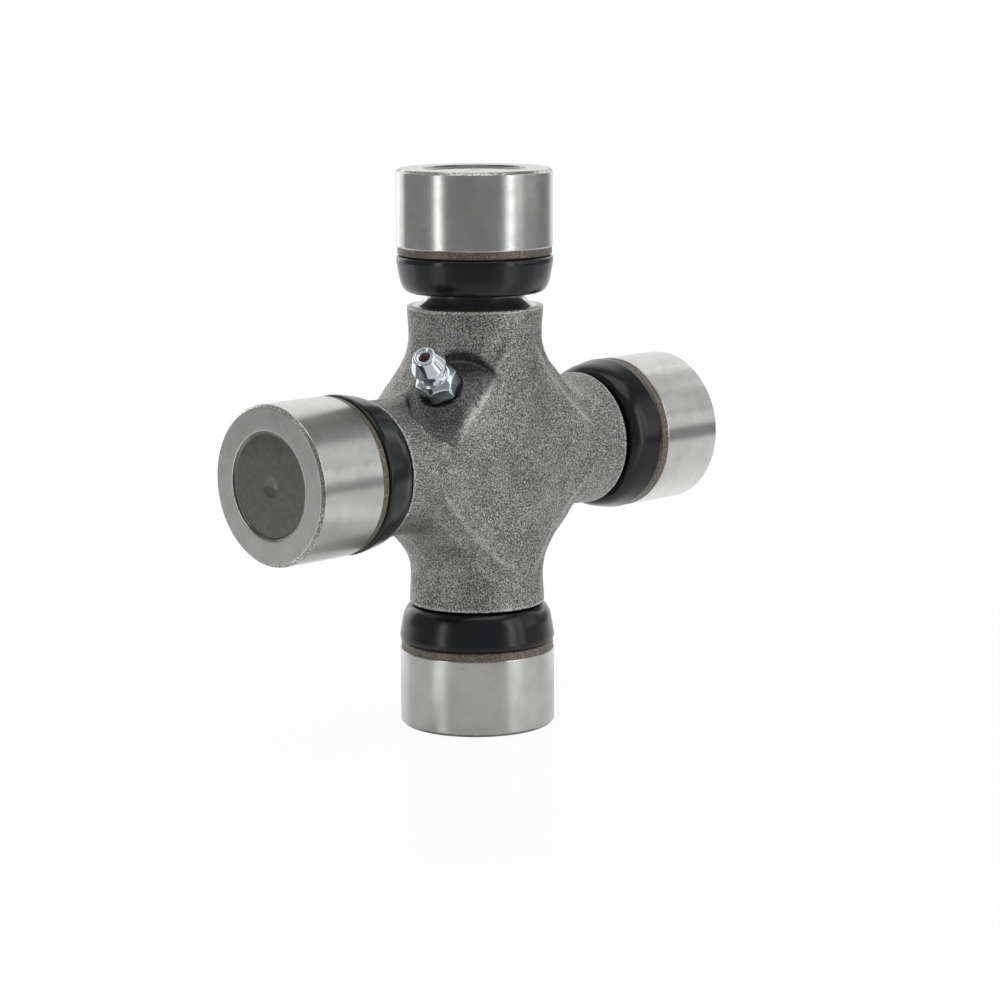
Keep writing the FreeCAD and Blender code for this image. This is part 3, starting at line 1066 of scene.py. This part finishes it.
def add_camera(scene):
    """Camera at the photograph's place, turned a little about its own back axis."""
    level, upright, back = axes_towards(CAMERA_AZIMUTH, CAMERA_ELEVATION)
    c, s = math.cos(CAMERA_ROLL), math.sin(CAMERA_ROLL)
    right = c * level + s * upright
    up = c * upright - s * level
    place = CUP_RADIUS * MM * (CAMERA_RIGHT * right + CAMERA_UP * up + CAMERA_DISTANCE * back)
    data = bpy.data.cameras.new("camera")
    data.sensor_width = SENSOR_WIDTH
    data.lens = FOCAL_PIXELS * SENSOR_WIDTH / IMAGE_WIDTH
    data.clip_end = 50
    camera = bpy.data.objects.new("camera", data)
    place_with(camera, right, up, back, place)
    scene.collection.objects.link(camera)
    scene.camera = camera


# Lamps: name, angle round from the camera's side and height angle in degrees,
# then distance, width and height in metres and brightness, where 1 looks white
LAMPS = (
    ("left_strip", -54, 12, 0.9, 0.17, 0.9, 1.8),
    ("right_strip", 54, 12, 0.9, 0.15, 0.9, 2.3),
    ("right_mid", 70, 20, 0.9, 0.16, 0.7, 1.35),
    ("right_high", 95, 30, 0.9, 0.42, 0.40, 0.45),
    ("right_low", 93, 9, 0.9, 0.42, 0.22, 0.60),
    ("left_back", -140, 15, 0.9, 0.50, 0.60, 1.0),
    ("right_back", 135, 25, 0.9, 0.50, 0.50, 0.9),
    ("left_high", -110, 45, 0.9, 0.50, 0.40, 0.30),
    ("top_front", 0, 80, 0.8, 0.80, 0.60, 1.0),
)


def add_lamp(scene, name, azimuth_deg, elevation_deg, distance, width, height, brightness):
    """Rectangular lamp that faces the centre of the cross and isn't seen by the camera.

    Its power in watts is brightness * pi * width * height.
    """
    axes = axes_towards(CAMERA_AZIMUTH + math.radians(azimuth_deg), math.radians(elevation_deg))
    data = bpy.data.lights.new(name, "AREA")
    data.shape = "RECTANGLE"
    data.size = width
    data.size_y = height
    data.energy = brightness * math.pi * width * height
    lamp = bpy.data.objects.new(name, data)
    place_with(lamp, *axes, axes[2] * distance)
    lamp.visible_camera = False
    scene.collection.objects.link(lamp)


# Edges of the floor in metres: to the left, right, back and front as the camera sees it, and how
# many points lie along each edge
FLOOR_LEFT = -0.42
FLOOR_RIGHT = 0.30
FLOOR_BACK = -0.60
FLOOR_FRONT = 0.17
FLOOR_POINTS = 9

# Cosines of the angles at which a strip lamp's band of painted reflection on the floor starts and is full
BAND_OUTSIDE = math.cos(math.radians(15))
BAND_INSIDE = math.cos(math.radians(10))

# White background that metal shows: its middle's height angle, and the cosines of the angles from
# there at which it starts and is full
BACKDROP_HEIGHT = math.radians(14)
BACKDROP_OUTSIDE = math.cos(math.radians(48))
BACKDROP_INSIDE = math.cos(math.radians(26))


class JOINT_OT_stage(bpy.types.Operator):
    """Adds the floor, the lamps, the background and the camera"""

    bl_idname = "joint_cross.stage"
    bl_label = "Stage"

    def execute(self, context):
        scene = context.scene
        stage = scene.joint_stage
        self.add_floor(scene, stage)
        self.add_surroundings(scene, stage)
        for *placing, brightness in LAMPS:
            add_lamp(scene, *placing, brightness * stage.lamp_level)
        add_camera(scene)
        scene.view_settings.view_transform = "Standard"
        return {"FINISHED"}

    def add_floor(self, scene, stage):
        """Pale floor that keeps a soft shadow and fades to plain white away from the object."""
        right, _, front = axes_towards(CAMERA_AZIMUTH, 0)
        base = np.array([0, 0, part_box("bottom_bearing_cup")[0][2]])
        rows = [
            [base + right * x + front * y for x in np.linspace(FLOOR_LEFT, FLOOR_RIGHT, FLOOR_POINTS)]
            for y in np.linspace(FLOOR_BACK, FLOOR_FRONT, FLOOR_POINTS)
        ]
        index = np.arange(FLOOR_POINTS ** 2).reshape(FLOOR_POINTS, FLOOR_POINTS)
        faces = np.stack([index[1:, :-1], index[1:, 1:], index[:-1, 1:], index[:-1, :-1]], axis=-1)
        mesh = bpy.data.meshes.new("floor")
        mesh.from_pydata(np.array(rows).reshape(-1, 3), [], faces.reshape(-1, 4))
        floor = bpy.data.objects.new("floor", mesh)
        scene.collection.objects.link(floor)
        floor.data.materials.append(self.floor_finish(stage, front))

    def floor_finish(self, stage, front):
        """Semi-gloss floor mixed with a white glow, as the camera and metal see it.

        Metal shows the glow behind the object, close round it as a painted pool of light, and in two bands
        of painted reflection that the strip lamps draw over a glossy table.
        """
        finish = Finish("floor")
        finish.shade(Base_Color=(*stage.floor_colour, 1.0), Roughness=stage.floor_roughness)
        x, y, _ = finish.parts(finish.place())
        distance = (x * x + y * y).maths("SQRT")
        ahead = x * float(front[0]) + y * float(front[1])
        # painted pool of light close round the object, seen only in metal
        near = distance.step(0.095, 0.055) * (ahead / (distance + 0.001)).step(0.85, 0.40)
        mirrored = ahead.step(0.0, -0.08).at_least(near * 0.30).at_least(stage.floor_mirror)
        # painted reflections: bands where the strip lamps would show in a glossy table
        for azimuth_deg in (LAMPS[0][1], LAMPS[1][1]):
            towards = axes_towards(CAMERA_AZIMUTH + math.radians(azimuth_deg), 0)[2]
            along = (x * float(towards[0]) + y * float(towards[1])) / (distance + 0.001)
            mirrored = mirrored.at_least(along.step(BAND_OUTSIDE, BAND_INSIDE))
        glow = finish.node("ShaderNodeEmission", {}, {"Color": (1, 1, 1, 1), "Strength": 1.0})
        camera = finish.node("ShaderNodeLightPath", {}, {}, "Is Camera Ray")
        glossy = finish.node("ShaderNodeLightPath", {}, {}, "Is Glossy Ray")
        through = finish.node("ShaderNodeLightPath", {}, {}, "Is Transmission Ray")
        away = distance.step(0.08, 0.165)
        seen = camera * (away * (1 - stage.floor_glow) + stage.floor_glow) + (glossy + through) * mirrored
        surface = Wire(finish, finish.shader.outputs[0])
        mixed = finish.node("ShaderNodeMixShader", {}, {0: seen, 1: surface, 2: glow})
        output = next(node for node in finish.tree.nodes if node.type == "OUTPUT_MATERIAL")
        finish.put(output, {0: mixed})
        finish.material.cycles.emission_sampling = "NONE"
        return finish.material

    def add_surroundings(self, scene, stage):
        """Grey room with a white background, which metal shows too where the background lies."""
        world = bpy.data.worlds.new("surroundings")
        world.use_nodes = True
        tree = world.node_tree
        nodes, links = tree.nodes, tree.links
        background = nodes["Background"]
        background.inputs["Color"].default_value = (1, 1, 1, 1)
        path = nodes.new("ShaderNodeLightPath")
        direction = nodes.new("ShaderNodeTexCoord")
        along = nodes.new("ShaderNodeVectorMath")
        along.operation = "DOT_PRODUCT"
        links.new(direction.outputs["Generated"], along.inputs[0])
        along.inputs[1].default_value = -axes_towards(CAMERA_AZIMUTH, -BACKDROP_HEIGHT)[2]
        behind = nodes.new("ShaderNodeMapRange")
        behind.interpolation_type = "SMOOTHSTEP"
        behind.inputs["From Min"].default_value = BACKDROP_OUTSIDE
        behind.inputs["From Max"].default_value = BACKDROP_INSIDE
        links.new(along.outputs["Value"], behind.inputs["Value"])
        mirrored = nodes.new("ShaderNodeMath")
        links.new(path.outputs["Is Glossy Ray"], mirrored.inputs[0])
        links.new(path.outputs["Is Transmission Ray"], mirrored.inputs[1])
        shown = nodes.new("ShaderNodeMath")
        shown.operation = "MULTIPLY_ADD"
        links.new(mirrored.outputs[0], shown.inputs[0])
        links.new(behind.outputs[0], shown.inputs[1])
        links.new(path.outputs["Is Camera Ray"], shown.inputs[2])
        strength = nodes.new("ShaderNodeMapRange")
        links.new(shown.outputs[0], strength.inputs["Value"])
        strength.inputs["To Min"].default_value = stage.room_level
        strength.inputs["To Max"].default_value = 1.0
        links.new(strength.outputs[0], background.inputs["Strength"])
        world.cycles.sampling_method = "NONE"
        scene.world = world


class JOINT_PT_panel(bpy.types.Panel):
    """Lists the pieces and their settings"""

    bl_idname = "JOINT_PT_panel"
    bl_label = "Joint cross"
    bl_space_type = "VIEW_3D"
    bl_region_type = "UI"
    bl_category = "Joint cross"

    def draw(self, context):
        for operator in OPERATORS:
            self.layout.operator(operator.bl_idname)
        for name in SETTINGS:
            settings = getattr(context.scene, name)
            box = self.layout.box()
            for key in settings.__annotations__:
                box.prop(settings, key)


OPERATORS = (
    JOINT_OT_cross, JOINT_OT_cups, JOINT_OT_guards, JOINT_OT_nipple, JOINT_OT_inner, JOINT_OT_stage,
)
SETTINGS = {
    "joint_cross": CrossSettings,
    "joint_cups": CupSettings,
    "joint_guards": GuardSettings,
    "joint_nipple": NippleSettings,
    "joint_stage": StageSettings,
}


def register():
    """Registers the classes and puts the settings on the scene."""
    for settings in SETTINGS.values():
        bpy.utils.register_class(settings)
    for name, settings in SETTINGS.items():
        setattr(bpy.types.Scene, name, PointerProperty(type=settings))
    for operator in OPERATORS:
        bpy.utils.register_class(operator)
    bpy.utils.register_class(JOINT_PT_panel)


def unregister():
    """Takes the classes and settings away again."""
    bpy.utils.unregister_class(JOINT_PT_panel)
    for operator in reversed(OPERATORS):
        bpy.utils.unregister_class(operator)
    for name, settings in SETTINGS.items():
        delattr(bpy.types.Scene, name)
        bpy.utils.unregister_class(settings)


def main():
    """Registers the add-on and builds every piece."""
    register()
    bpy.ops.joint_cross.cross()
    bpy.ops.joint_cross.cups()
    bpy.ops.joint_cross.guards()
    bpy.ops.joint_cross.nipple()
    bpy.ops.joint_cross.inner()
    bpy.ops.joint_cross.stage()
    bpy.context.view_layer.update()


if __name__ == "__main__":
    main()
